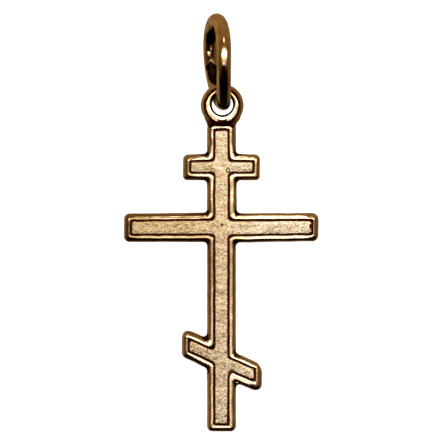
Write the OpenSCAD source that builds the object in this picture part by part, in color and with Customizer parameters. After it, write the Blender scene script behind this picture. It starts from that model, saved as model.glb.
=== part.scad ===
// Orthodox cross pendant: a cast three-barred cross hanging from a soldered jump ring.
// Millimetres. The origin is the inner top of the ring, where a chain bears.
// X runs to the right as the face is seen, Y away from the viewer and Z up.

/* [Cross outline] */
// Width of the upright
upright_w = 2.08; // [1.9:0.02:2.3]
// Length of the main bar
main_bar_l = 14; // [12:0.5:18]
// Height of the main bar
main_bar_h = 2.05; // [1.9:0.05:2.3]
// Middle of the main bar down to the foot of the upright
foot_drop = 14.7; // [14:0.05:18]
// Middle of the main bar up to the shoulder of the upright
shoulder_rise = 7.58; // [7.2:0.02:7.62]
// Length of the short upper bar
upper_bar_l = 5.56; // [5:0.02:7]
// Height of the short upper bar
upper_bar_h = 1.86; // [1.7:0.02:2.1]
// Middle of the main bar up to the middle of the upper bar
upper_bar_rise = 4.4; // [4:0.05:4.8]
// Length of the slanted lower bar, measured level
lower_bar_l = 5.74; // [5:0.02:7]
// Height of the slanted lower bar, measured upright
lower_bar_h = 2.06; // [1.9:0.02:2.3]
// Middle of the main bar down to the middle of the lower bar
lower_bar_drop = 9.61; // [8.5:0.01:10.5]
// Slope of the lower bar, falling to the right
lower_bar_slope = 25.2; // [15:0.1:30]
// Radius of the outer corners
corner_r = 0.4; // [0.3:0.02:0.5]
// Radius of the inner corners
web_r = 0.3; // [0.15:0.01:0.35]

/* [Relief] */
// Thickness of the cross from its back to the crest of its rim
cross_t = 1.3; // [1.1:0.05:1.8]
// Outline to the inner lip of the raised rim
rim_w = 0.43; // [0.4:0.01:0.5]
// Depth of the sunk field below the crest
field_depth = 0.18; // [0.1:0.01:0.3]

/* [Eye and neck] */
// Outer diameter of the eye
eye_d = 3.06; // [2.9:0.02:3.16]
// Diameter of the hole through the eye
eye_bore_d = 1.54; // [1.52:0.02:1.8]
// Middle of the main bar up to the middle of the eye
eye_rise = 8.89; // [8.85:0.01:9]
// Thickness of the web between the eye and the upright
neck_t = 1.05; // [0.8:0.05:1.1]

/* [Jump ring] */
// Outer diameter of the ring
ring_d = 7; // [6.6:0.1:8]
// Diameter of its wire
wire_d = 0.98; // [0.8:0.02:0.98]
// Turn of the ring from edge-on, its near side to the right
ring_turn = 9.7; // [0:0.1:11]
// Lean of the ring to the left
ring_lean = 4.6; // [0:0.2:6]
// Middle of the wire above the middle of the eye
wire_rise = 0.1; // [0.05:0.01:0.12]

/* [Hidden] */
gold = "#b48a45";
arc_steps = 4;
back_round = 0.14;
shoulder_run = 0.27;
shoulder_drop = 0.36;
lip_round = 0.04;
wall_run = 0.1;
field_corner_r = 0.12;
eye_crest_r = 1.16;
eye_lip = 0.12;
eye_shoulder_drop = 0.38;
neck_back_gap = 0.05;
neck_bury = 0.5;
neck_sink = 0.95;
neck_inset = 0.01;
ring_pitch_r = (ring_d - wire_d) / 2;
// Unit vector from the middle of the ring to its lowest point
ring_low = [sin(ring_lean) * cos(ring_turn), sin(ring_lean) * sin(ring_turn), -cos(ring_lean)];
ring_centre = ring_low * (ring_pitch_r - wire_d / 2);
// Middle of the wire where the eye hangs on it, the axis that the cross swings about
swing_point = ring_low * (2 * ring_pitch_r - wire_d / 2);

// Columns: half length, half height, height of the middle, fall for each mm to the right
bars = [
    [lower_bar_l / 2, lower_bar_h / 2, -lower_bar_drop, tan(lower_bar_slope)],
    [main_bar_l / 2, main_bar_h / 2, 0, 0],
    [upper_bar_l / 2, upper_bar_h / 2, upper_bar_rise, 0]
];

// Corners of one side of the cross from foot to shoulder; hand is 1 on the right, -1 on the left
function side_corners(hand) = let (half = hand * upright_w / 2) [
    [half, -foot_drop],
    for (bar = bars)
        let (reach = hand * bar[0])
        each [
            [half, bar[2] - bar[3] * half - bar[1]],
            [reach, bar[2] - bar[3] * reach - bar[1]],
            [reach, bar[2] - bar[3] * reach + bar[1]],
            [half, bar[2] - bar[3] * half + bar[1]]
        ],
    [half, shoulder_rise]
];

function reversed(list) = [for (i = [len(list) - 1:-1:0]) list[i]];

// Normal of the edge from a to b, on its left, which is the inner side of the outline
function inner_normal(a, b) = [a.y - b.y, b.x - a.x] / norm(b - a);

// Arc at corner p after the outline has moved in by inset; outer corners get round_r, inner ones web_r
function corner_arc(before, p, after, inset, round_r) =
    let (
        n1 = inner_normal(before, p),
        n2 = inner_normal(p, after),
        miter = (n1 + n2) / (1 + n1 * n2),
        turn = atan2(cross(n1, n2), n1 * n2),
        bend_r = turn > 0 ? round_r : -web_r,
        centre = p + miter * (inset + bend_r),
        start = atan2(n1.y, n1.x)
    )
    [for (i = [0:arc_steps])
        let (a = start + turn * i / arc_steps)
        centre - bend_r * [cos(a), sin(a)]];

// Closed path of the outline moved in by inset
function inset_path(corners, inset) =
    let (n = len(corners), round_r = max(field_corner_r, corner_r - inset))
    [for (i = [0:n - 1])
        each corner_arc(corners[(i + n - 1) % n], corners[i], corners[(i + 1) % n], inset, round_r)];

// Triangles that join ring k to ring k + 1 of a stack of rings with n points each
function band_faces(n, k) = [
    for (i = [0:n - 1])
        let (j = (i + 1) % n, low = k * n, high = low + n)
        each [[low + i, high + i, high + j], [low + i, high + j, low + j]]
];

// Convex pieces that fill one ring of the cross: level strips of the upright, then the bars' ends
function cross_cap(n) =
    let (
        steps = arc_steps + 1,
        half = n / 2,
        column = [for (c = [0:4 * len(bars) + 1])
            if (c % 4 < 2)
                each [for (i = [0:arc_steps]) c * steps + i]],
        strips = [for (i = [0:len(column) - 2])
            [column[i], column[i + 1], n - 1 - column[i + 1], n - 1 - column[i]]],
        ends = [for (b = [0:len(bars) - 1]) [for (i = [(4 * b + 2) * steps - 1:(4 * b + 4) * steps]) i]]
    )
    concat(strips, ends, [for (end = ends) [for (i = reversed(end)) n - 1 - i]]);

function quarter(steps) = [for (i = [0:steps]) i * 90 / steps];

// Section of the cross's edge. Columns: inset from the outline, height above the back
edge_section = concat(
    [for (a = quarter(2)) back_round * [1 - sin(a), 1 - cos(a)]],
    [for (a = quarter(4)) [shoulder_run * (1 - cos(a)), cross_t - shoulder_drop * (1 - sin(a))]],
    [
        [rim_w - lip_round, cross_t],
        [rim_w, cross_t - lip_round],
        [rim_w + wall_run, cross_t - field_depth]
    ]
);

// Section of the neck's edge, with the same columns
neck_section = concat(
    [for (a = quarter(2)) [back_round * (1 - sin(a)), neck_back_gap + back_round * (1 - cos(a))]],
    [for (a = quarter(3)) [shoulder_run * (1 - cos(a)), neck_t - shoulder_run * (1 - sin(a))]]
);

// Solid whose rings follow the path at each inset and height of the section
module moulding(corners, section, cap) {
    rings = [for (row = section) [for (p = inset_path(corners, row[0])) [p.x, p.y, row[1]]]];
    n = len(rings[0]);
    top = n * (len(section) - 1);
    polyhedron(
        points = [for (ring = rings) each ring],
        faces = concat(
            cap,
            [for (k = [0:len(section) - 2]) each band_faces(n, k)],
            [for (face = cap) [for (i = reversed(face)) i + top]]
        )
    );
}

module cross_body() {
    corners = concat(side_corners(1), reversed(side_corners(-1)));
    moulding(corners, edge_section, cross_cap(len(corners) * (arc_steps + 1)));
}

// Web whose sides run from the shoulders of the upright to touch the eye
module neck() {
    half = upright_w / 2;
    drop = eye_rise - shoulder_rise;
    touch = acos(eye_d / 2 / norm([half, drop])) - atan2(drop, half);
    sink_r = neck_sink * eye_d / 2;
    right = [
        [half - neck_inset, shoulder_rise - neck_bury],
        [half - neck_inset, shoulder_rise],
        [sink_r * cos(touch), eye_rise + sink_r * sin(touch)]
    ];
    corners = concat(right, [for (p = reversed(right)) [-p.x, p.y]]);
    moulding(corners, neck_section, [[for (i = [0:len(corners) * (arc_steps + 1) - 1]) i]]);
}

// Half of the eye's section, from the middle plane to its crest. Columns: radius, height
eye_half = concat(
    [for (a = quarter(2)) [eye_bore_d / 2 + eye_lip * (1 - cos(a)), cross_t / 2 - eye_lip * (1 - sin(a))]],
    [for (a = quarter(5))
        [eye_crest_r + (eye_d / 2 - eye_crest_r) * sin(a), cross_t / 2 - eye_shoulder_drop * (1 - cos(a))]]
);

module eye() {
    rotate_extrude($fn = 96)
        polygon(concat(eye_half, [for (p = reversed(eye_half)) [p.x, -p.y]]));
}

module cross() {
    color(gold)
        translate(swing_point + [0, cross_t / 2, -wire_rise - eye_rise])
            rotate([90, 0, 0])
                difference() {
                    union() {
                        cross_body();
                        neck();
                        translate([0, eye_rise, cross_t / 2])
                            eye();
                    }
                    translate([0, eye_rise, -1])
                        cylinder(h = cross_t + 2, d = eye_bore_d, $fn = 96);
                }
}

module jump_ring() {
    color(gold)
        translate(ring_centre)
            rotate([0, 90 - ring_lean, ring_turn])
                rotate_extrude($fn = 96)
                    translate([ring_pitch_r, 0])
                        circle(d = wire_d, $fn = 48);
}

cross();
jump_ring();
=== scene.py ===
import math

import bmesh
import bpy
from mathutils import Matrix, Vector


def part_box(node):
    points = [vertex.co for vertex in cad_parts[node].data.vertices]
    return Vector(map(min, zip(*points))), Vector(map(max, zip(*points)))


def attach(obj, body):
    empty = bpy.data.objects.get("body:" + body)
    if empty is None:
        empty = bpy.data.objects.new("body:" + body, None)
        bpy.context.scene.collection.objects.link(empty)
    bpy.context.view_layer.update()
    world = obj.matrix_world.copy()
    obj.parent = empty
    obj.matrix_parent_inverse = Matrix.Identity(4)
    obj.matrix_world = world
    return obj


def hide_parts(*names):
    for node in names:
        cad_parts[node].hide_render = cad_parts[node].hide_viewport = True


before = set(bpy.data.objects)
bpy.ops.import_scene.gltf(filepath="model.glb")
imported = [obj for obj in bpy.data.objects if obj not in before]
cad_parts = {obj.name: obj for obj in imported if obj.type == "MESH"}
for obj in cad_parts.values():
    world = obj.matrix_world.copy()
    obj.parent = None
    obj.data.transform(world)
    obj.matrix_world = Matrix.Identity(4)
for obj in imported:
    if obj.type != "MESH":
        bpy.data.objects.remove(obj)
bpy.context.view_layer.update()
print("frame loaded")

mm = 0.001
same = 0.001  # places nearer together than this, in millimetres, are one
smoothAngle = 38  # faces that meet at fewer degrees than this are shaded as one surface
crossLow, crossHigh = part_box("cross")
ringLow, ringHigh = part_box("jump_ring")


# Modelling helpers. The pieces are modelled in millimetres and made real size at the end

def choose(part, *others):
    # selects these objects and nothing else, the first of them active
    bpy.ops.object.select_all(action="DESELECT")
    for item in (part, *others):
        item.select_set(True)
    bpy.context.view_layer.objects.active = part


def startPart(name, addPrimitive, **values):
    # a primitive at its size and place, from which a piece is shaped
    bpy.ops.object.select_all(action="DESELECT")
    addPrimitive(**values)
    part = bpy.context.object
    part.name = name
    return part


def edit(part):
    choose(part)
    bpy.ops.object.mode_set(mode="EDIT")


def leaveEdit():
    bpy.ops.object.mode_set(mode="OBJECT")


def pick(part, kind, test):
    # selects the faces, edges or vertices that pass the test, and nothing else
    bpy.ops.mesh.select_mode(type=kind)
    bpy.ops.mesh.select_all(action="DESELECT")
    mesh = bmesh.from_edit_mesh(part.data)
    items = {"FACE": mesh.faces, "EDGE": mesh.edges, "VERT": mesh.verts}[kind]
    for item in items:
        if test(item):
            item.select_set(True)
    bmesh.update_edit_mesh(part.data)


def pickAll(kind):
    bpy.ops.mesh.select_mode(type=kind)
    bpy.ops.mesh.select_all(action="SELECT")


def middle(item):
    return sum((vert.co for vert in item.verts), Vector()) / len(item.verts)


def inBox(vert, box):
    # as the cross is seen from the front
    left, right, low, high = box
    return left < vert.co.x < right and low < vert.co.z < high


def faceOutwards():
    bpy.ops.mesh.select_all(action="SELECT")
    bpy.ops.mesh.normals_make_consistent(inside=False)


def settle(part):
    # puts the object's place, turn and scale into its mesh
    choose(part)
    bpy.ops.object.transform_apply(location=True, rotation=True, scale=True)


def joinInto(part, other):
    choose(part, other)
    bpy.ops.object.join()


def checkClosed(part):
    # a shell that is empty or open would drop out of a boolean without a word
    mesh = bmesh.new()
    mesh.from_mesh(part.data)
    openEdges = sum(len(edge.link_faces) != 2 for edge in mesh.edges)
    faceCount = len(mesh.faces)
    mesh.free()
    if openEdges or not faceCount:
        raise RuntimeError(f"{part.name}: {faceCount} faces, {openEdges} open edges")


def carve(part, other, operation):
    # UNION makes one casting of two that run into each other, DIFFERENCE cuts the other out
    checkClosed(other)
    choose(part)
    cut = part.modifiers.new("cut", "BOOLEAN")
    cut.operation = operation
    cut.solver = "EXACT"
    cut.object = other
    bpy.ops.object.modifier_apply(modifier="cut")
    bpy.data.objects.remove(other)
    checkClosed(part)


def giveMaterials(part, materials):
    for material in materials:
        part.data.materials.append(material)


def paint(part, slot, test):
    # gives the faces that pass the test this material slot, in edit mode
    pick(part, "FACE", test)
    part.active_material_index = slot
    bpy.ops.object.material_slot_assign()


def displace(part, name, texture, strength, direction, group=""):
    # a Displace modifier, applied. Strength in millimetres from the texture's lowest to its highest
    choose(part)
    push = part.modifiers.new(name, "DISPLACE")
    push.texture = texture
    push.texture_coords = "LOCAL"
    push.direction = direction
    push.mid_level = 0.5
    push.strength = strength
    push.vertex_group = group
    bpy.ops.object.modifier_apply(modifier=name)


def cloudTexture(name, size, depth, kind="GRAYSCALE"):
    # procedural clouds, size in millimetres
    texture = bpy.data.textures.new(name, "CLOUDS")
    texture.noise_scale = size
    texture.noise_depth = depth
    texture.cloud_type = kind
    return texture


def finishPart(part, home):
    # to its place and to metres
    edit(part)
    bpy.ops.mesh.select_all(action="SELECT")
    bpy.ops.transform.translate(value=home)
    faceOutwards()
    leaveEdit()
    part.scale = (mm, mm, mm)
    settle(part)
    bpy.ops.object.shade_smooth_by_angle(angle=math.radians(smoothAngle))


# Materials

def hexColour(text):
    # sRGB hex to linear
    parts = [int(text[i:i + 2], 16) / 255 for i in (1, 3, 5)]
    return [c / 12.92 if c <= 0.04045 else ((c + 0.055) / 1.055) ** 2.4 for c in parts] + [1]


def grey(value):
    return [value, value, value, 1]


def addNode(tree, kind, settings=None, links=None):
    node = tree.nodes.new("ShaderNode" + kind)
    for name, value in (settings or {}).items():
        if isinstance(name, int) or name in node.inputs:
            node.inputs[name].default_value = value
        else:
            setattr(node, name, value)
    for name, output in (links or {}).items():
        tree.links.new(output, node.inputs[name])
    return node


def setRamp(node, stops):
    ramp = node.color_ramp
    while len(ramp.elements) < len(stops):
        ramp.elements.new(0.5)
    for element, (place, colour) in zip(ramp.elements, stops):
        element.position = place
        element.color = hexColour(colour)
    return node


def newMaterial(name):
    material = bpy.data.materials.new(name)
    material.use_nodes = True
    tree = material.node_tree
    tree.nodes.clear()
    place = addNode(tree, "TexCoord")
    # object coordinates in millimetres
    millimetres = addNode(tree, "Mapping", {"Scale": [1 / mm] * 3}, {"Vector": place.outputs["Object"]})
    return material, tree, millimetres.outputs["Vector"]


def addPaintedShade(tree, mmVector, colour, paintedShade):
    # painted shade: the colour darkened and tinted up to the near distance from the centre, unchanged from
    # the far one on
    shadeTint, centre, near, far = paintedShade
    away = addNode(tree, "VectorMath", {"operation": "DISTANCE", 1: centre}, {0: mmVector})
    unshaded = addNode(tree, "MapRange", {"From Min": near, "From Max": far}, {"Value": away.outputs["Value"]})
    tint = addNode(tree, "Mix", {"data_type": "RGBA", 6: hexColour(shadeTint), 7: grey(1)},
                   {0: unshaded.outputs["Result"]})
    withShade = addNode(tree, "Mix", {"data_type": "RGBA", "blend_type": "MULTIPLY", 0: 1.0},
                   {6: colour, 7: tint.outputs[2]})
    return withShade.outputs[2]


polish = {
    # patches of the lighter and the darker tone, in millimetres, and the noise between which they blend
    "toneSize": 1.1, "toneFrom": 0.35, "toneTo": 0.62,
    # more and less buffed patches, and their roughness as a share of the metal's
    "rubSize": 0.35, "rubFrom": 0.3, "rubTo": 0.7, "buffed": 0.75, "unbuffed": 1.4,
    # the casting skin that the buffing leaves: its size and depth
    "skinSize": 0.3, "skinDepth": 0.006,
    # a painted shade that changes nothing
    "noPaintedShade": ("#FFFFFF", (0, 0, 0), 0, 1),
}


def polishedGold(name, lighter, darker, roughness, paintedShade=polish["noPaintedShade"]):
    # Gilded brass, tumbled and buffed: a clear reflection, softened by a faint casting skin
    material, tree, mmVector = newMaterial(name)
    cloud = addNode(tree, "TexNoise", {"Scale": 1 / polish["toneSize"], "Detail": 3}, {"Vector": mmVector})
    spread = addNode(tree, "MapRange", {"From Min": polish["toneFrom"], "From Max": polish["toneTo"]},
                     {"Value": cloud.outputs["Fac"]})
    tint = addNode(tree, "Mix", {"data_type": "RGBA", 6: hexColour(darker), 7: hexColour(lighter)},
                   {0: spread.outputs["Result"]})
    # painted shade from the given patch, if any
    withShade = addPaintedShade(tree, mmVector, tint.outputs[2], paintedShade)
    rub = addNode(tree, "TexNoise", {"Scale": 1 / polish["rubSize"], "Detail": 4}, {"Vector": mmVector})
    rough = addNode(tree, "MapRange", {"From Min": polish["rubFrom"], "From Max": polish["rubTo"],
                                       "To Min": roughness * polish["buffed"],
                                       "To Max": roughness * polish["unbuffed"]},
                    {"Value": rub.outputs["Fac"]})
    skin = addNode(tree, "TexNoise", {"Scale": 1 / polish["skinSize"], "Detail": 2}, {"Vector": mmVector})
    bump = addNode(tree, "Bump", {"Strength": 1.0, "Distance": polish["skinDepth"] * mm},
                   {"Height": skin.outputs["Fac"]})
    shader = addNode(tree, "BsdfPrincipled", {"Metallic": 1.0},
                     {"Base Color": withShade, "Roughness": rough.outputs["Result"],
                      "Normal": bump.outputs["Normal"]})
    addNode(tree, "OutputMaterial", links={"Surface": shader.outputs["BSDF"]})
    return material


blast = {
    # specks of the grain in millimetres, their tones by the noise, and their roughness
    "speckSize": 0.16, "tones": [(0.34, "#AD9C7D"), (0.45, "#D7C5A5"), (0.56, "#ECDEC2"), (0.66, "#FBF5EE")],
    "roughFrom": 0.3, "roughTo": 0.7, "smoothest": 0.3, "roughest": 0.5,
    # pinkish and greenish patches
    "hueSize": 0.45, "hues": [(0.35, "#FBEDE2"), (0.5, "#FFFFFF"), (0.65, "#F4F4DE")],
    # the dents of the grit, coarser than real ones, so that they show
    "gritSize": 0.07, "gritDepth": 0.012,
}


def sandblastedGold(name, paintedShade):
    # Gilded brass, grit blasted: a matt, sparkling grain with cream, tan and pinkish specks
    material, tree, mmVector = newMaterial(name)
    speck = addNode(tree, "TexNoise", {"Scale": 1 / blast["speckSize"], "Detail": 3}, {"Vector": mmVector})
    tones = setRamp(addNode(tree, "ValToRGB", links={"Fac": speck.outputs["Fac"]}), blast["tones"])
    patch = addNode(tree, "TexNoise", {"Scale": 1 / blast["hueSize"], "Detail": 2}, {"Vector": mmVector})
    hues = setRamp(addNode(tree, "ValToRGB", links={"Fac": patch.outputs["Fac"]}), blast["hues"])
    tint = addNode(tree, "Mix", {"data_type": "RGBA", "blend_type": "MULTIPLY", 0: 1.0},
                   {6: tones.outputs["Color"], 7: hues.outputs["Color"]})
    # painted shade from the given patch, darker and yellower towards the left arm
    withShade = addPaintedShade(tree, mmVector, tint.outputs[2], paintedShade)
    grit = addNode(tree, "TexNoise", {"Scale": 1 / blast["gritSize"], "Detail": 3}, {"Vector": mmVector})
    bump = addNode(tree, "Bump", {"Strength": 1.0, "Distance": blast["gritDepth"] * mm},
                   {"Height": grit.outputs["Fac"]})
    rough = addNode(tree, "MapRange", {"From Min": blast["roughFrom"], "From Max": blast["roughTo"],
                                       "To Min": blast["smoothest"], "To Max": blast["roughest"]},
                    {"Value": speck.outputs["Fac"]})
    shader = addNode(tree, "BsdfPrincipled", {"Metallic": 1.0},
                     {"Base Color": withShade, "Roughness": rough.outputs["Result"],
                      "Normal": bump.outputs["Normal"]})
    addNode(tree, "OutputMaterial", links={"Surface": shader.outputs["BSDF"]})
    return material


# patches of the two tones in millimetres, the noise between which they blend, and the roughness
tarnishAndShade = {"toneSize": 0.3, "toneFrom": 0.35, "toneTo": 0.65, "roughness": 0.42}


def tarnishAndShadeGold(name, darkest, lightest):
    # A dark brown, half matt gilded brass for painted shade: on the cross partly also tarnish where the
    # buffing wheel doesn't reach, on the ring the dark reflections
    material, tree, mmVector = newMaterial(name)
    cloud = addNode(tree, "TexNoise", {"Scale": 1 / tarnishAndShade["toneSize"], "Detail": 3}, {"Vector": mmVector})
    tones = setRamp(addNode(tree, "ValToRGB", links={"Fac": cloud.outputs["Fac"]}),
                    [(tarnishAndShade["toneFrom"], darkest), (tarnishAndShade["toneTo"], lightest)])
    shader = addNode(tree, "BsdfPrincipled", {"Metallic": 1.0, "Roughness": tarnishAndShade["roughness"]},
                     {"Base Color": tones.outputs["Color"]})
    addNode(tree, "OutputMaterial", links={"Surface": shader.outputs["BSDF"]})
    return material


# The cross, modelled with its back on y = 0 and the middle of its main bar at the origin, then moved

# the recess slot carries tarnish and painted shade
rimSlot, tarnishAndShadeSlot, fieldSlot, sideSlot = range(4)  # material slots of all that is cast

cross = {
    "uprightW": 2.08, "footDrop": 14.7, "shoulderRise": 7.58, "thick": 1.3,
    # half length, half height, height of the middle, slope in degrees
    "bars": [(2.87, 1.03, -9.61, 25.2), (7.0, 1.025, 0, 0), (2.78, 0.93, 4.4, 0)],
    # radius of the outer, inner and field's corners, and the turn in radians below which it's no corner
    "outerR": 0.4, "webR": 0.3, "fieldR": 0.12, "cornerSegments": 6, "straight": 0.05,
    # corners that the casting holds out of true: place, shift, radius where it differs
    "strayCorners": [
        ((-7, 1.025), (-0.04, 0), 0), ((-7, -1.025), (-0.04, 0), 0), ((-1.04, 1.025), (0, 0.07), 0),
        ((1.04, 1.025), (0.06, 0.02), 0), ((7, 1.025), (0, 0.05), 0.46), ((7, -1.025), (0, 0.06), 0.46),
        ((1.04, -1.025), (0, -0.05), 0), ((1.04, 3.47), (0.06, -0.03), 0), ((-1.04, 3.47), (0, -0.03), 0),
        ((2.78, 3.47), (0, -0.03), 0.3), ((-2.78, 3.47), (0, -0.03), 0.3), ((2.78, 5.33), (0, -0.03), 0),
        ((-2.78, 5.33), (0, -0.03), 0), ((-2.87, -7.23), (0, 0.06), 0.52), ((1.04, -11.13), (0, -0.05), 0),
        ((2.87, -9.93), (0.05, 0.04), 0.85), ((2.87, -11.99), (0.04, 0.02), 0.5),
        ((-1.04, -8.09), (0, 0.06), 0), ((1.04, -9.07), (0, -0.01), 0)],
    # how far off its place such a corner may be: before its shift, after it, and more for each mm of inset
    "strayBefore": 0.1, "strayAfter": 0.2, "strayMore": 1.5,
    # points on the straight edges between which the shoulders may differ
    "pointsAcross": (-6.0, -1.7, 1.7, 6.0), "pointsUp": (-13.6, -6.8, -1.6, 1.6, 3.0, 5.9),
    # inset from the outline, height above the back, material slot of the band below
    # the recess slot's bands along the field's edge are tarnish and painted shade in the groove
    "rows": [(0.2, 0, sideSlot), (0.14, 0, sideSlot), (0.04, 0.04, sideSlot), (0, 0.14, sideSlot),
             (0, 0.88, sideSlot), (0.025, 1.0, sideSlot), (0.06, 1.09, sideSlot), (0.108, 1.165, sideSlot),
             (0.153, 1.22, rimSlot), (0.2, 1.258, rimSlot), (0.25, 1.284, rimSlot), (0.305, 1.298, rimSlot),
             (0.365, 1.3, rimSlot), (0.42, 1.297, rimSlot), (0.455, 1.275, rimSlot), (0.47, 1.2, tarnishAndShadeSlot),
             (0.485, 1.105, tarnishAndShadeSlot), (0.525, 1.07, tarnishAndShadeSlot), (0.57, 1.075, tarnishAndShadeSlot),
             (0.612, 1.092, tarnishAndShadeSlot), (0.8, 1.1, fieldSlot)],
    # height at which the front relief starts, and the one of the row along which the stretches are cut
    "frontFrom": 0.88, "cutLevel": 0.14,
    # the lip of the field isn't quite parallel to the outline: what the stretch faces, left, right, low
    # and high, then its shift aside and up, which grows from one inset to another
    "drifts": [((0, -1), (-3.2, -0.2, -10.6, -8.4), (0, 0.07)), ((0, 1), (0.2, 3.2, -11, -8.4), (0, 0.08)),
               ((0, -1), (0.2, 3.2, -12.4, -9.4), (0, 0.16)), ((1, 0), (6, 7.4, -1.5, 1.5), (0.07, 0)),
               ((1, 0), (2, 3, 3.2, 5.6), (0.05, 0)), ((1, 0), (0.15, 1.3, 0.2, 4.3), (-0.06, 0)),
               ((1, 0), (0.15, 1.3, -9.4, -0.6), (-0.022, 0)), ((1, 0), (0.15, 1.3, -15, -10.9), (-0.04, 0))],
    "driftFrom": 0.22, "driftTo": 0.45,
    # the shoulder is flatter in some stretches and fuller in others: left, right, low, high, and how far it
    # goes over to a straight chamfer, less than nothing where it is fuller
    "shoulders": [((1.5, 6.1, 0.3, 1.5), -0.3), ((1.5, 6.1, -1.5, -0.3), -0.1), ((6.1, 7.4, -1.5, 1.5), 0.3),
                  ((-6.1, -1.5, 0.3, 1.5), 0.3), ((-7.4, -6.1, -1.5, 1.5), 0.3),
                  ((1.55, 1.85, -12.4, -8.7), -0.4), ((1.85, 3.2, -10.08, -9.4), -0.1),
                  ((1.85, 3.2, -12.4, -10.08), 0.3), ((-3.2, -1.85, 3.2, 5.6), 0.4),
                  ((1.55, 1.85, 4.6, 5.6), -0.4), ((-1.4, 1.4, 5.8, 8), 0.3),
                  ((-3.2, -1.85, -9.6, -6.9), 0.3), ((0.6, 1.3, 1.5, 3.1), -0.1)],
    # inset and height at the chamfer's two ends
    "chamfer": ((0, 0.92), (0.37, 1.27)),
    # the crest of the level stretches leans up about one inset, between two others: left, right, low and
    # high, then the slope. Where they overlap, the slopes add up
    "leans": [((-8, 8, -16, 9), 0.14), ((-7.4, -1.4, 0.3, 1.5), -0.14)],
    "leanPivot": 0.33, "leanSpan": (0.06, 0.47),
    # a shift is given in equal shares to what faces its way at least this squarely
    "facingLevels": (0.2, 0.5, 0.8, 0.95),
    # length of the pieces that the straight stretches are cut into. One up to this many times as long stays
    "stepAlong": 0.2, "stepSlack": 1.5,
    # the field's grid, how near a cut has to pass a vertex to run through it, and the field's grain
    "fieldCell": 0.12, "cutSnap": 0.00001, "grain": 0.036, "grainSize": 0.13,
    # the waviness of the whole casting
    "wobble": 0.045, "wobbleSize": 0.9,
}
crossHome = Vector((
    (crossLow.x + crossHigh.x) / 2 / mm,
    crossHigh.y / mm,
    crossLow.z / mm + cross["footDrop"],
))

castMetal = {
    "lighter": "#F2DDB8", "darker": "#E3C797", "roughness": 0.17,
    "shadeDarkest": "#260301", "shadeLightest": "#682C17",
    # painted shade: the left arm is made darker and yellower, as if less lit, on the rim more abruptly than
    # in the field: the tint there, the middle of the patch from the middle of the main bar, and where it
    # starts and ends to fade
    "rimPaintedShade": ("#CCC1B0", (-4, 0, -2), 3.8, 6.4), "sidePaintedShade": ("#E2DACE", (-4, 0, -2), 3.8, 6.4),
    "fieldPaintedShade": ("#DACDB4", (-30, 0, -1), 27, 34.6),
}


def placed(paintedShade):
    # the painted shade with its middle where the cross hangs
    shadeTint, centre, near, far = paintedShade
    return shadeTint, crossHome + Vector(centre), near, far


def castMaterials():
    # in the order of the slots
    polished = castMetal["lighter"], castMetal["darker"], castMetal["roughness"]
    rim = polishedGold("polishedCastGold", *polished, placed(castMetal["rimPaintedShade"]))
    # tarnish and painted shade for the recesses, undersides and corners
    recess = tarnishAndShadeGold("tarnishAndShadeRecessGold", castMetal["shadeDarkest"], castMetal["shadeLightest"])
    field = sandblastedGold("sandblastedGold", placed(castMetal["fieldPaintedShade"]))
    side = polishedGold("polishedSideGold", *polished, placed(castMetal["sidePaintedShade"]))
    return rim, recess, field, side


castGold = castMaterials()
print("cast metal made")


def outlineFace():
    # the sharp-cornered outline as one flat face that looks to the front
    w, foot, top = cross["uprightW"], cross["footDrop"], cross["shoulderRise"]
    part = startPart("outline", bpy.ops.mesh.primitive_plane_add, size=1, location=(0, 0, (top - foot) / 2),
                     rotation=(math.pi / 2, 0, 0))
    part.scale = (w, top + foot, 1)
    settle(part)
    edit(part)
    for reach, half, rise, slope in cross["bars"]:
        fall = math.tan(math.radians(slope))
        for side in (-1, 1):
            bpy.ops.mesh.select_all(action="SELECT")
            bpy.ops.mesh.bisect(plane_co=(0, 0, rise + side * half), plane_no=(fall, 0, 1))
        for hand in (-1, 1):
            def onThisSide(edge):
                m = middle(edge)
                return abs(m.x - hand * w / 2) < same and abs(m.z - rise + fall * m.x) < half
            pick(part, "EDGE", onThisSide)
            run = hand * (reach - w / 2)
            bpy.ops.mesh.extrude_region_move(TRANSFORM_OT_translate={"value": (run, 0, -fall * run)})
    bpy.ops.mesh.select_all(action="SELECT")
    bpy.ops.mesh.dissolve_limited(angle_limit=cross["straight"])
    near = cross["strayBefore"]
    for (x, z), (aside, up), radius in cross["strayCorners"]:
        pick(part, "VERT", lambda vert: abs(vert.co.x - x) < near and abs(vert.co.z - z) < near)
        bpy.ops.transform.translate(value=(aside, 0, up))
    # points along the straight edges, where the shoulders may change
    places = [((x, 0, 0), (1, 0, 0)) for x in cross["pointsAcross"]]
    places += [((0, 0, z), (0, 0, 1)) for z in cross["pointsUp"]]
    for at, across in places:
        bpy.ops.mesh.select_all(action="SELECT")
        bpy.ops.mesh.bisect(plane_co=at, plane_no=across)
    pickAll("FACE")
    bpy.ops.mesh.dissolve_faces()
    leaveEdit()
    return part


def insetCopy(outline, inset):
    # a copy of the outline, moved in
    choose(outline)
    bpy.ops.object.duplicate()
    part = bpy.context.object
    edit(part)
    pickAll("FACE")
    if inset:
        bpy.ops.mesh.inset(thickness=inset)
        bpy.ops.mesh.select_all(action="INVERT")
        bpy.ops.mesh.delete(type="FACE")
    return part


def outerRadius(corner, inset):
    # the general radius, or the one of the stray corner that this corner has moved in from
    for (x, z), shift, radius in cross["strayCorners"]:
        reach = cross["strayAfter"] + cross["strayMore"] * inset
        if radius and math.hypot(corner.x - x, corner.z - z) < reach:
            return radius
    return cross["outerR"]


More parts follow.
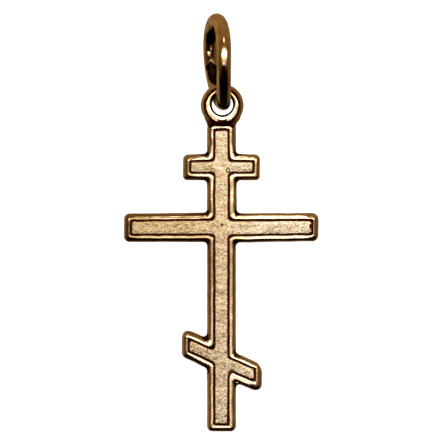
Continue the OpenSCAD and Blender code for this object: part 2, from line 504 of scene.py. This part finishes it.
def roundCorners(part, inset):
    corners = []
    for loop in list(bmesh.from_edit_mesh(part.data).faces)[0].loops:
        before, at, after = loop.link_loop_prev.vert.co, loop.vert.co, loop.link_loop_next.vert.co
        turn = (at - before).angle(after - at)
        if turn < cross["straight"]:
            continue
        radius = cross["webR"]
        if loop.is_convex:
            outer = outerRadius(at, inset)
            radius = max(cross["fieldR"], outer - inset * outer / cross["outerR"])
        corners.append((at.copy(), radius * math.tan(turn / 2)))
    for corner, cut in corners:
        pick(part, "VERT", lambda vert: (vert.co - corner).length < same)
        bpy.ops.mesh.bevel(offset=cut, segments=cross["cornerSegments"], affect="VERTICES")


def turnedTo(vert, aside, up):
    # how squarely the flat outline faces this way at the vertex, -1 to 1
    loop = vert.link_loops[0]
    along = (loop.link_loop_next.vert.co - loop.link_loop_prev.vert.co).normalized()
    return along.z * aside - along.x * up


def nudge(part, facing, box, move):
    # moves the row's vertices in the box that face this way, all the more the more squarely they do
    for level in cross["facingLevels"]:
        pick(part, "VERT", lambda vert: inBox(vert, box) and turnedTo(vert, *facing) > level)
        bpy.ops.transform.translate(value=[share / len(cross["facingLevels"]) for share in move])


def shiftLip(part, inset):
    share = min(1, max(0, inset - cross["driftFrom"]) / (cross["driftTo"] - cross["driftFrom"]))
    for facing, box, (aside, up) in cross["drifts"]:
        nudge(part, facing, box, (share * aside, 0, share * up))


def shapeShoulder(part, inset, height):
    (near, below), (far, above) = cross["chamfer"]
    if near < inset < far:
        straight = below + (above - below) * (inset - near) / (far - near)
        for box, share in cross["shoulders"]:
            pick(part, "VERT", lambda vert: inBox(vert, box))
            risen = min(share * (straight - height), cross["thick"] - height)
            bpy.ops.transform.translate(value=(0, -risen, 0))


def leanCrest(part, inset):
    start, end = cross["leanSpan"]
    if start < inset < end:
        for box, slope in cross["leans"]:
            for hand in (-1, 1):
                nudge(part, (0, hand), box, (0, -hand * slope * (inset - cross["leanPivot"]), 0))


def mouldingRow(outline, inset, height, filled):
    # a copy of the outline moved in, its corners rounded, at this height
    part = insetCopy(outline, inset)
    roundCorners(part, inset)
    front = height > cross["frontFrom"]
    if front:
        shiftLip(part, inset)
    bpy.ops.mesh.select_all(action="SELECT")
    bpy.ops.transform.translate(value=(0, -height, 0))
    if front:
        shapeShoulder(part, inset, height)
        leanCrest(part, inset)
    if not filled:
        pickAll("FACE")
        bpy.ops.mesh.delete(type="ONLY_FACE")
    leaveEdit()
    return part


def mouldedBody():
    # the rows one above the other, bridged, with the back and the field closed
    outline = outlineFace()
    rows = cross["rows"]
    body = mouldingRow(outline, rows[0][0], rows[0][1], True)
    body.name = "pendantCross"
    giveMaterials(body, castGold)
    edit(body)
    paint(body, rows[0][2], lambda face: True)
    leaveEdit()
    for inset, height, slot in rows[1:]:
        last = (inset, height, slot) == rows[-1]
        joinInto(body, mouldingRow(outline, inset, height, last))
        edit(body)
        pick(body, "EDGE", lambda edge: len(edge.link_faces) < 2)
        bpy.ops.mesh.bridge_edge_loops()
        body.active_material_index = slot
        bpy.ops.object.material_slot_assign()
        if last:
            # the field is the face that has more corners than the bridges' faces
            paint(body, slot, lambda face: len(face.verts) > 4 and middle(face).y < -height + same)
        leaveEdit()
    bpy.data.objects.remove(outline)
    edit(body)
    faceOutwards()
    leaveEdit()
    return body


def cutStretches(body):
    # crosswise cuts along every straight stretch of the moulding
    step, level = cross["stepAlong"], cross["cutLevel"]
    edit(body)
    bpy.ops.mesh.select_mode(type="EDGE")
    while True:
        bpy.ops.mesh.select_all(action="DESELECT")
        seed = next((edge for edge in bmesh.from_edit_mesh(body.data).edges
                     if edge.calc_length() > cross["stepSlack"] * step
                     and all(abs(vert.co.y + level) < same for vert in edge.verts)), None)
        if seed is None:
            break
        cuts = math.ceil(seed.calc_length() / step) - 1
        seed.select_set(True)
        bmesh.update_edit_mesh(body.data)
        bpy.ops.mesh.loop_multi_select(ring=True)
        bpy.ops.mesh.subdivide(number_cuts=cuts)
    leaveEdit()


def cutField(body):
    # a fine grid over the sunk field, for the grain
    edit(body)
    pick(body, "FACE", lambda face: face.material_index == fieldSlot)
    bpy.ops.mesh.hide(unselected=True)
    cell = cross["fieldCell"]
    reach = int(cross["bars"][1][0] / cell)
    low, high = int(-cross["footDrop"] / cell), int(cross["shoulderRise"] / cell)
    lines = [((k * cell, 0, 0), (1, 0, 0)) for k in range(-reach, reach + 1)]
    lines += [((0, 0, k * cell), (0, 0, 1)) for k in range(low, high + 1)]
    for at, across in lines:
        bpy.ops.mesh.select_all(action="SELECT")
        bpy.ops.mesh.bisect(plane_co=at, plane_no=across, threshold=cross["cutSnap"])
    pick(body, "FACE", lambda face: True)
    bpy.ops.mesh.subdivide(number_cuts=1)
    # everything but the edge of the field is free to move
    pick(body, "VERT", lambda vert: all(not face.hide for face in vert.link_faces))
    body.vertex_groups.new(name="field")
    bpy.ops.object.vertex_group_assign()
    bpy.ops.mesh.reveal()
    leaveEdit()


def sectionLine(name, points):
    # a closed line of edges through the points, each given as across, out and up
    part = startPart(name, bpy.ops.mesh.primitive_plane_add, size=1)
    edit(part)
    pickAll("VERT")
    bpy.ops.mesh.merge(type="CENTER")
    bpy.ops.transform.translate(value=points[0])
    for here, there in zip(points, points[1:]):
        step = tuple(b - a for a, b in zip(here, there))
        bpy.ops.mesh.extrude_region_move(TRANSFORM_OT_translate={"value": step})
    ends = [Vector(points[0]), Vector(points[-1])]
    pick(part, "VERT", lambda vert: any((vert.co - end).length < same for end in ends))
    bpy.ops.mesh.edge_face_add()
    return part


eye = {
    "aside": 0.05, "rise": 8.85, "steps": 120,
    # radius and height of its section from the back round the outside to the hole
    "section": [(0.86, 0.0), (1.2, 0.0), (1.39, 0.06), (1.5, 0.19), (1.55, 0.42), (1.55, 0.74), (1.53, 0.9),
                (1.475, 1.03), (1.395, 1.13), (1.325, 1.19), (1.27, 1.215), (1.225, 1.18), (1.185, 1.21),
                (1.15, 1.255), (1.08, 1.266), (0.98, 1.266), (0.925, 1.25), (0.9, 1.16), (0.8, 0.88),
                (0.765, 0.7), (0.765, 0.2), (0.8, 0.06)],
    # what gets painted shade, partly also tarnish where the buffing wheel doesn't reach: the hole out to one
    # radius, and a groove between two
    "shadedHole": 0.92, "groove": (1.165, 1.3),
    # the groove sits low, and takes this much of its inner edge with it
    "grooveLow": 0.07, "grooveEdge": 0.03,
    # the hole was drilled a little to the right and high, which moves all inside this radius
    "holeShift": (0.02, 0.06), "holeReach": 1.0,
}


def eyeRing():
    # the section spun about the hole, its outer groove set a little low, its hole and groove given painted
    # shade
    aside, rise = eye["aside"], eye["rise"]
    part = sectionLine("eye", [(aside + radius, -height, rise) for radius, height in eye["section"]])
    pickAll("EDGE")
    bpy.ops.mesh.spin(steps=eye["steps"], angle=2 * math.pi, center=(aside, 0, rise), axis=(0, 1, 0))
    bpy.ops.mesh.select_all(action="SELECT")
    bpy.ops.mesh.remove_doubles(threshold=same)
    faceOutwards()
    giveMaterials(part, castGold)
    low, high = eye["groove"]

    def away(at):
        return math.hypot(at.x - aside, at.z - rise)

    def inGroove(at, edge):
        return low - edge < away(at) < high and at.y < -cross["frontFrom"]
    paint(part, sideSlot, lambda face: True)
    # painted shade, partly also tarnish, in the hole and the groove
    paint(part, tarnishAndShadeSlot, lambda face: away(middle(face)) < eye["shadedHole"]
          or inGroove(middle(face), 0))
    pick(part, "VERT", lambda vert: inGroove(vert.co, eye["grooveEdge"]))
    bpy.ops.transform.translate(value=(0, 0, -eye["grooveLow"]))
    pick(part, "VERT", lambda vert: away(vert.co) < eye["holeReach"])
    bpy.ops.transform.translate(value=(eye["holeShift"][0], 0, eye["holeShift"][1]))
    leaveEdit()
    return part


neck = {
    # the outline, fuller on the right
    "line": [(-0.96, 7.08), (0.96, 7.08), (1.09, 7.55), (1.32, 7.84), (1.45, 8.2), (0.8, 7.95), (-0.75, 7.95),
             (-1.34, 8.2), (-1.2, 7.84), (-1.07, 7.55)],
    "back": 0.05, "thick": 0.98,
    # the edges of its sides are bevelled: this far from the middle at least, and up to this height
    "bevel": 0.22, "bevelSegments": 4, "sideFrom": 0.52, "sideTo": 8.03,
    # painted shade on what faces the front this squarely
    "shadedFacing": 0.9,
}


def neckWeb():
    # the web between the eye and the shoulders of the upright, its front given painted shade
    part = sectionLine("neck", [(x, -neck["back"], z) for x, z in neck["line"]])
    bpy.ops.mesh.select_all(action="SELECT")
    bpy.ops.mesh.edge_face_add()
    pickAll("FACE")
    out = (0, neck["back"] - neck["thick"], 0)
    bpy.ops.mesh.extrude_region_move(TRANSFORM_OT_translate={"value": out})
    faceOutwards()
    pick(part, "EDGE", lambda edge: abs(middle(edge).x) > neck["sideFrom"] and middle(edge).z < neck["sideTo"]
         and abs(edge.verts[0].co.y - edge.verts[1].co.y) < same)
    bpy.ops.mesh.bevel(offset=neck["bevel"], segments=neck["bevelSegments"], affect="EDGES")
    giveMaterials(part, castGold)
    paint(part, sideSlot, lambda face: True)
    # painted shade on the front
    paint(part, tarnishAndShadeSlot, lambda face: face.normal.y < -neck["shadedFacing"])
    leaveEdit()
    return part


# where the dark recess material is painted on as shade
recesses = {
    # the valley below the eye: half width, lowest and highest point, and how far it stays below the crest
    "valley": (0.95, 7.2, 7.75, 0.02),
    # undersides: how much they face down, the height that they stay below, and how far they have turned
    # from the front, at least and at most
    "facingDown": 0.3, "underTop": 6.58, "turned": (0.5, 0.85),
    # the corners between the bars and the upright: how far at the side, the height at which it ends and the
    # fall over which it spreads
    "corner": (0.9, 1.29, 0.34),
}


def innerCorners():
    # where the bars meet the upright, across and up
    w = cross["uprightW"]
    return [(hand * w / 2, rise + side * half - hand * w / 2 * math.tan(math.radians(slope)))
            for reach, half, rise, slope in cross["bars"] for hand in (-1, 1) for side in (-1, 1)]


def paintRecessShade(body):
    # painted shade: the valley below the eye, the undersides and the inner corners get the dark recess
    # material, darker where the light doesn't reach
    reach, low, high, gap = recesses["valley"]
    little, much = recesses["turned"]
    spread, level, fall = recesses["corner"]
    corners = innerCorners()

    def onRelief(face):
        return middle(face).y < -cross["frontFrom"]

    def inValley(face):
        at = middle(face)
        return abs(at.x) < reach and low < at.z < high and at.y > gap - cross["thick"]

    def underneath(face):
        return (face.normal.z < -recesses["facingDown"] and middle(face).z < recesses["underTop"]
                and little < math.hypot(face.normal.x, face.normal.z) < much)

    def inCorner(face):
        at = middle(face)
        return any(math.hypot(at.x - x, at.z - z) < spread * (level + at.y) / fall for x, z in corners)
    edit(body)
    paint(body, tarnishAndShadeSlot, lambda face: onRelief(face) and inValley(face))
    for test in (underneath, inCorner):
        paint(body, tarnishAndShadeSlot, lambda face: face.material_index in (rimSlot, sideSlot) and onRelief(face)
              and test(face))
    leaveEdit()


flaws = {
    # place across and up, height of the middle, radius, and how much taller than wide
    "beads": [(1.11, -11.17, 1.09, 0.15, 1.0)],
    "pits": [(0.02, 0.21, 1.14, 0.08, 2.0), (6.41, 0.1, 1.14, 0.09, 2.2), (6.37, -0.3, 1.14, 0.07, 1.2),
             (-5.6, -0.52, 1.14, 0.06, 1.0), (0.3, -8.95, 1.14, 0.07, 1.0), (0.42, -12.0, 1.14, 0.06, 1.2),
             (-0.3, -5.1, 1.14, 0.05, 1.0), (-2.1, 0.15, 1.14, 0.05, 1.0)],
    "ballSegments": 16, "ballRings": 10,
    # place across and up, height of the middle, radius of the groove and half its width
    "bubble": (0.465, 4.13, 1.115, 0.14, 0.042), "grooveSegments": 24, "grooveSides": 10,
}


def ballsAt(name, balls, slot):
    # small balls in one mesh, to leave a bead or a pit
    cutter = None
    for x, z, height, radius, taller in balls:
        ball = startPart(name, bpy.ops.mesh.primitive_uv_sphere_add, segments=flaws["ballSegments"],
                         ring_count=flaws["ballRings"], radius=radius, location=(x, -height, z))
        ball.scale = (1, 1, taller)
        settle(ball)
        if cutter:
            joinInto(cutter, ball)
        else:
            cutter = ball
    giveMaterials(cutter, castGold)
    edit(cutter)
    paint(cutter, slot, lambda face: True)
    leaveEdit()
    return cutter


def bubbleRing():
    # a burst gas bubble left a small bead in the field with a groove round it, painted dark as shade
    x, z, height, radius, half = flaws["bubble"]
    part = startPart("bubble", bpy.ops.mesh.primitive_torus_add, major_radius=radius, minor_radius=half,
                     major_segments=flaws["grooveSegments"], minor_segments=flaws["grooveSides"],
                     location=(x, -height, z), rotation=(math.pi / 2, 0, 0))
    settle(part)
    giveMaterials(part, castGold)
    edit(part)
    paint(part, tarnishAndShadeSlot, lambda face: True)
    leaveEdit()
    return part


def makeCross():
    body = mouldedBody()
    cutStretches(body)
    print("moulding", len(body.data.polygons), "faces")
    carve(body, neckWeb(), "UNION")
    carve(body, eyeRing(), "UNION")
    paintRecessShade(body)
    print("eye and neck joined", len(body.data.polygons), "faces")
    cutField(body)
    carve(body, ballsAt("beads", flaws["beads"], rimSlot), "UNION")
    # the pits take the dark recess material: painted shade in them
    carve(body, ballsAt("pits", flaws["pits"], tarnishAndShadeSlot), "DIFFERENCE")
    carve(body, bubbleRing(), "DIFFERENCE")
    print("casting flaws made", len(body.data.polygons), "faces")
    grain = cloudTexture("grain", cross["grainSize"], depth=2)
    displace(body, "grain", grain, cross["grain"], "Y", "field")
    # all but the flat back is wavy
    edit(body)
    pick(body, "VERT", lambda vert: vert.co.y < -cross["cutLevel"] / 2)
    body.vertex_groups.new(name="cast")
    bpy.ops.object.vertex_group_assign()
    leaveEdit()
    waves = cloudTexture("wobble", cross["wobbleSize"], depth=1, kind="COLOR")
    displace(body, "wobble", waves, cross["wobble"], "RGB_TO_XYZ", "cast")
    finishPart(body, crossHome)
    print("cross done", len(body.data.polygons), "faces")
    return body


pendantCross = makeCross()
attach(pendantCross, "cross")
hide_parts("cross")


# The jump ring

wireSlot, shadeSlot = range(2)  # the wire's material slots

ring = {
    "outerR": 3.5, "wireR": 0.49, "turn": 8.9, "lean": 2.0, "aside": -0.06, "around": 192, "sides": 40,
    "broader": 1.04, "wobble": 0.03, "wobbleSize": 2.2,
    # bent out of its plane in wear: a twist over its height, and its foot pulled to the right
    "twist": 7.5, "footPull": 0.355, "pullFrom": -3.4, "pullReach": 5.0,
    # the solder left a bump inside: its place from the ring's middle, and its half sizes
    "solder": (-0.62, 2.4, 0.78), "solderSize": (0.17, 0.1, 0.36), "solderSegments": 32, "solderRings": 24,
    # painted shade on the wire, dark stretches where its reflections are dark: back or front half of the
    # ring, lowest and highest point from the ring's middle, how squarely they face the front, how much they
    # may face aside, and how far from the lower and from the upper end they narrow
    "shades": [(1, -1.75, 0.3, 0.6, 0.75, 0.6, 0.4), (1, 1.3, 2.75, 0.25, 0.7, 0.3, 0.6),
               (1, -3.6, -2.45, -1, 1, 0.01, 0.01), (-1, -3.35, -0.38, 0, 0.55, 0.3, 1.0)],
    "lighter": "#FBE6B4", "darker": "#D9B479", "roughness": 0.15,
    "shadeDarkest": "#0A0503", "shadeLightest": "#2A150A",
}
wireGold = polishedGold("polishedWireGold", ring["lighter"], ring["darker"], ring["roughness"])
# the dark material for painted shade on the wire, where its reflections are dark
wireShade = tarnishAndShadeGold("shadedWireGold", ring["shadeDarkest"], ring["shadeLightest"])
print("wire metal made")


def bentRing():
    part = startPart("jumpRing", bpy.ops.mesh.primitive_torus_add,
                     major_radius=ring["outerR"] - ring["wireR"], minor_radius=ring["wireR"],
                     major_segments=ring["around"], minor_segments=ring["sides"])
    edit(part)
    bpy.ops.mesh.select_all(action="SELECT")
    bpy.ops.transform.resize(value=(1, 1, ring["broader"]))
    leaveEdit()
    part.rotation_euler = (0, math.radians(90 - ring["lean"]), math.radians(ring["turn"]))
    settle(part)
    turnOver = part.modifiers.new("twist", "SIMPLE_DEFORM")
    turnOver.deform_method = "TWIST"
    turnOver.deform_axis = "Z"
    turnOver.angle = math.radians(ring["twist"])
    bpy.ops.object.modifier_apply(modifier="twist")
    edit(part)
    pick(part, "VERT", lambda vert: vert.co.z < ring["pullFrom"])
    bpy.ops.transform.translate(value=(ring["footPull"], 0, 0), use_proportional_edit=True,
                                proportional_edit_falloff="SHARP", proportional_size=ring["pullReach"])
    leaveEdit()
    waves = cloudTexture("ringWobble", ring["wobbleSize"], depth=0, kind="COLOR")
    displace(part, "wobble", waves, ring["wobble"], "RGB_TO_XYZ")
    giveMaterials(part, (wireGold, wireShade))
    return part


def solderBump():
    part = startPart("solder", bpy.ops.mesh.primitive_uv_sphere_add, segments=ring["solderSegments"],
                     ring_count=ring["solderRings"], radius=1, location=ring["solder"])
    part.scale = ring["solderSize"]
    settle(part)
    giveMaterials(part, (wireGold,))
    return part


def makeRing():
    part = bentRing()
    carve(part, solderBump(), "UNION")
    edit(part)
    # painted shade: these stretches of the wire are made dark where its reflections are dark
    for side, low, high, squarely, aside, fromLow, fromHigh in ring["shades"]:
        def shaded(face):
            at = middle(face)
            narrow = min(1, (at.z - low) / fromLow, (high - at.z) / fromHigh)
            return (low < at.z < high and side * at.y > 0 and face.normal.y < -squarely
                    and abs(face.normal.x) < aside * narrow)
        paint(part, shadeSlot, shaded)
    leaveEdit()
    finishPart(part, (ringLow + ringHigh) / 2 / mm + Vector((ring["aside"], 0, 0)))
    print("ring done", len(part.data.polygons), "faces")
    return part


jumpRing = makeRing()
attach(jumpRing, "ring")
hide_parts("jump_ring")


# Floor, lamps, surroundings and camera, in millimetres

studio = {
    "floorDrop": 32, "floorSize": 560, "floorTones": ("#F4F3F0", "#FBFAF8"), "floorCloud": 60,
    "floorRoughness": 0.9,
    # the camera from the object's middle, and what it sees from side to side
    "cameraAway": 160, "cameraX": -0.108, "cameraZ": 0.562, "frameWidth": 31.68,
    "sensor": 36, "clipStart": 10, "clipEnd": 20000,
    # name, direction from the object (azimuth from the front, elevation), distance, width, height, radiance
    # and colour
    "lamps": [("upperKey", 6, 16, 500, 900, 200, 3.2, "#FFFFFF"),
              ("lowerKey", 4, 1, 520, 760, 250, 0.6, "#FFF1E4"),
              ("topSpot", 2, 50, 500, 90, 90, 7.0, "#FFFFFF"),
              ("footCard", 0, -6.8, 500, 150, 28, 3.4, "#FFFAF4"),
              ("leftWall", -120, 0, 500, 500, 900, 0.1, "#FFE9B8")],
    # the camera and the floor see this much white
    "white": 1.15,
    # what a reflection finds: a direction that is dark, below the camera, and the tones by the cosine to it
    "darkSide": (0.0, -0.5, -0.87),
    "room": [(-1.0, "#8B6E45"), (-0.5, "#86653C"), (0.0, "#6A5030"), (0.42, "#5A3D20"), (0.62, "#2A170A"),
             (0.74, "#0B0604")],
    # the wall behind, from this cosine on
    "backWall": "#A08C63", "backWallFrom": 0.8,
}
objectMiddle = Vector(((crossLow.x + crossHigh.x) / 2, crossLow.y, crossLow.z + cross["footDrop"] * mm))


def addFloor():
    floor = startPart("floor", bpy.ops.mesh.primitive_plane_add, size=studio["floorSize"] * mm,
                      location=(0, 0, crossLow.z - studio["floorDrop"] * mm))
    darker, lighter = (hexColour(tone) for tone in studio["floorTones"])
    material, tree, mmVector = newMaterial("paleMattFloor")
    cloud = addNode(tree, "TexNoise", {"Scale": 1 / studio["floorCloud"], "Detail": 2}, {"Vector": mmVector})
    tint = addNode(tree, "Mix", {"data_type": "RGBA", 6: darker, 7: lighter}, {0: cloud.outputs["Fac"]})
    shader = addNode(tree, "BsdfPrincipled", {"Roughness": studio["floorRoughness"]},
                     {"Base Color": tint.outputs[2]})
    addNode(tree, "OutputMaterial", links={"Surface": shader.outputs["BSDF"]})
    giveMaterials(floor, (material,))
    floor.visible_glossy = False


def addLamp(name, azimuth, elevation, distance, width, height, radiance, colour):
    turn, tilt = math.radians(azimuth), math.radians(elevation)
    away = Vector((math.sin(turn) * math.cos(tilt), -math.cos(turn) * math.cos(tilt), math.sin(tilt)))
    bpy.ops.object.light_add(type="AREA", location=objectMiddle + away * distance * mm)
    lamp = bpy.context.object
    lamp.name = name
    lamp.rotation_euler = away.to_track_quat("Z", "Y").to_euler()
    lamp.data.shape = "ELLIPSE"
    lamp.data.size = width * mm
    lamp.data.size_y = height * mm
    area = math.pi / 4 * width * mm * height * mm
    lamp.data.energy = radiance * math.pi * area
    lamp.data.color = hexColour(colour)[:3]
    lamp.visible_camera = False


def addRoom():
    # the camera and the floor see a white studio, the polished metal a dim warm room
    world = bpy.data.worlds.new("studio")
    bpy.context.scene.world = world
    world.use_nodes = True
    tree = world.node_tree
    tree.nodes.clear()
    place = addNode(tree, "TexCoord")
    toDark = addNode(tree, "VectorMath", {"operation": "DOT_PRODUCT", 1: studio["darkSide"]},
                     {0: place.outputs["Generated"]})
    share = addNode(tree, "MapRange", {"From Min": -1, "From Max": 1}, {"Value": toDark.outputs["Value"]})
    tones = setRamp(addNode(tree, "ValToRGB", links={"Fac": share.outputs["Result"]}),
                    [((cosine + 1) / 2, colour) for cosine, colour in studio["room"]])
    along = addNode(tree, "SeparateXYZ", links={"Vector": place.outputs["Generated"]})
    behind = addNode(tree, "MapRange", {"From Min": studio["backWallFrom"], "From Max": 1},
                     {"Value": along.outputs["Y"]})
    walls = addNode(tree, "Mix", {"data_type": "RGBA", 7: hexColour(studio["backWall"])},
                    {0: behind.outputs["Result"], 6: tones.outputs["Color"]})
    path = addNode(tree, "LightPath")
    room = addNode(tree, "Background", links={"Color": walls.outputs[2]})
    white = addNode(tree, "Background", {"Color": grey(1), "Strength": studio["white"]})
    mixed = addNode(tree, "MixShader", links={0: path.outputs["Is Glossy Ray"], 1: white.outputs[0],
                                              2: room.outputs[0]})
    addNode(tree, "OutputWorld", links={"Surface": mixed.outputs[0]})
    world.cycles.sampling_method = "NONE"


def addCamera():
    away = Vector((studio["cameraX"], -studio["cameraAway"], studio["cameraZ"])) * mm
    bpy.ops.object.camera_add(location=objectMiddle + away, rotation=(math.pi / 2, 0, 0))
    camera = bpy.context.object
    camera.data.sensor_width = studio["sensor"]
    camera.data.lens = studio["sensor"] * studio["cameraAway"] / studio["frameWidth"]
    camera.data.clip_start = studio["clipStart"] * mm
    camera.data.clip_end = studio["clipEnd"] * mm
    bpy.context.scene.camera = camera


addFloor()
for lampValues in studio["lamps"]:
    addLamp(*lampValues)
addRoom()
addCamera()
bpy.context.scene.view_settings.view_transform = "Standard"
print("studio done")
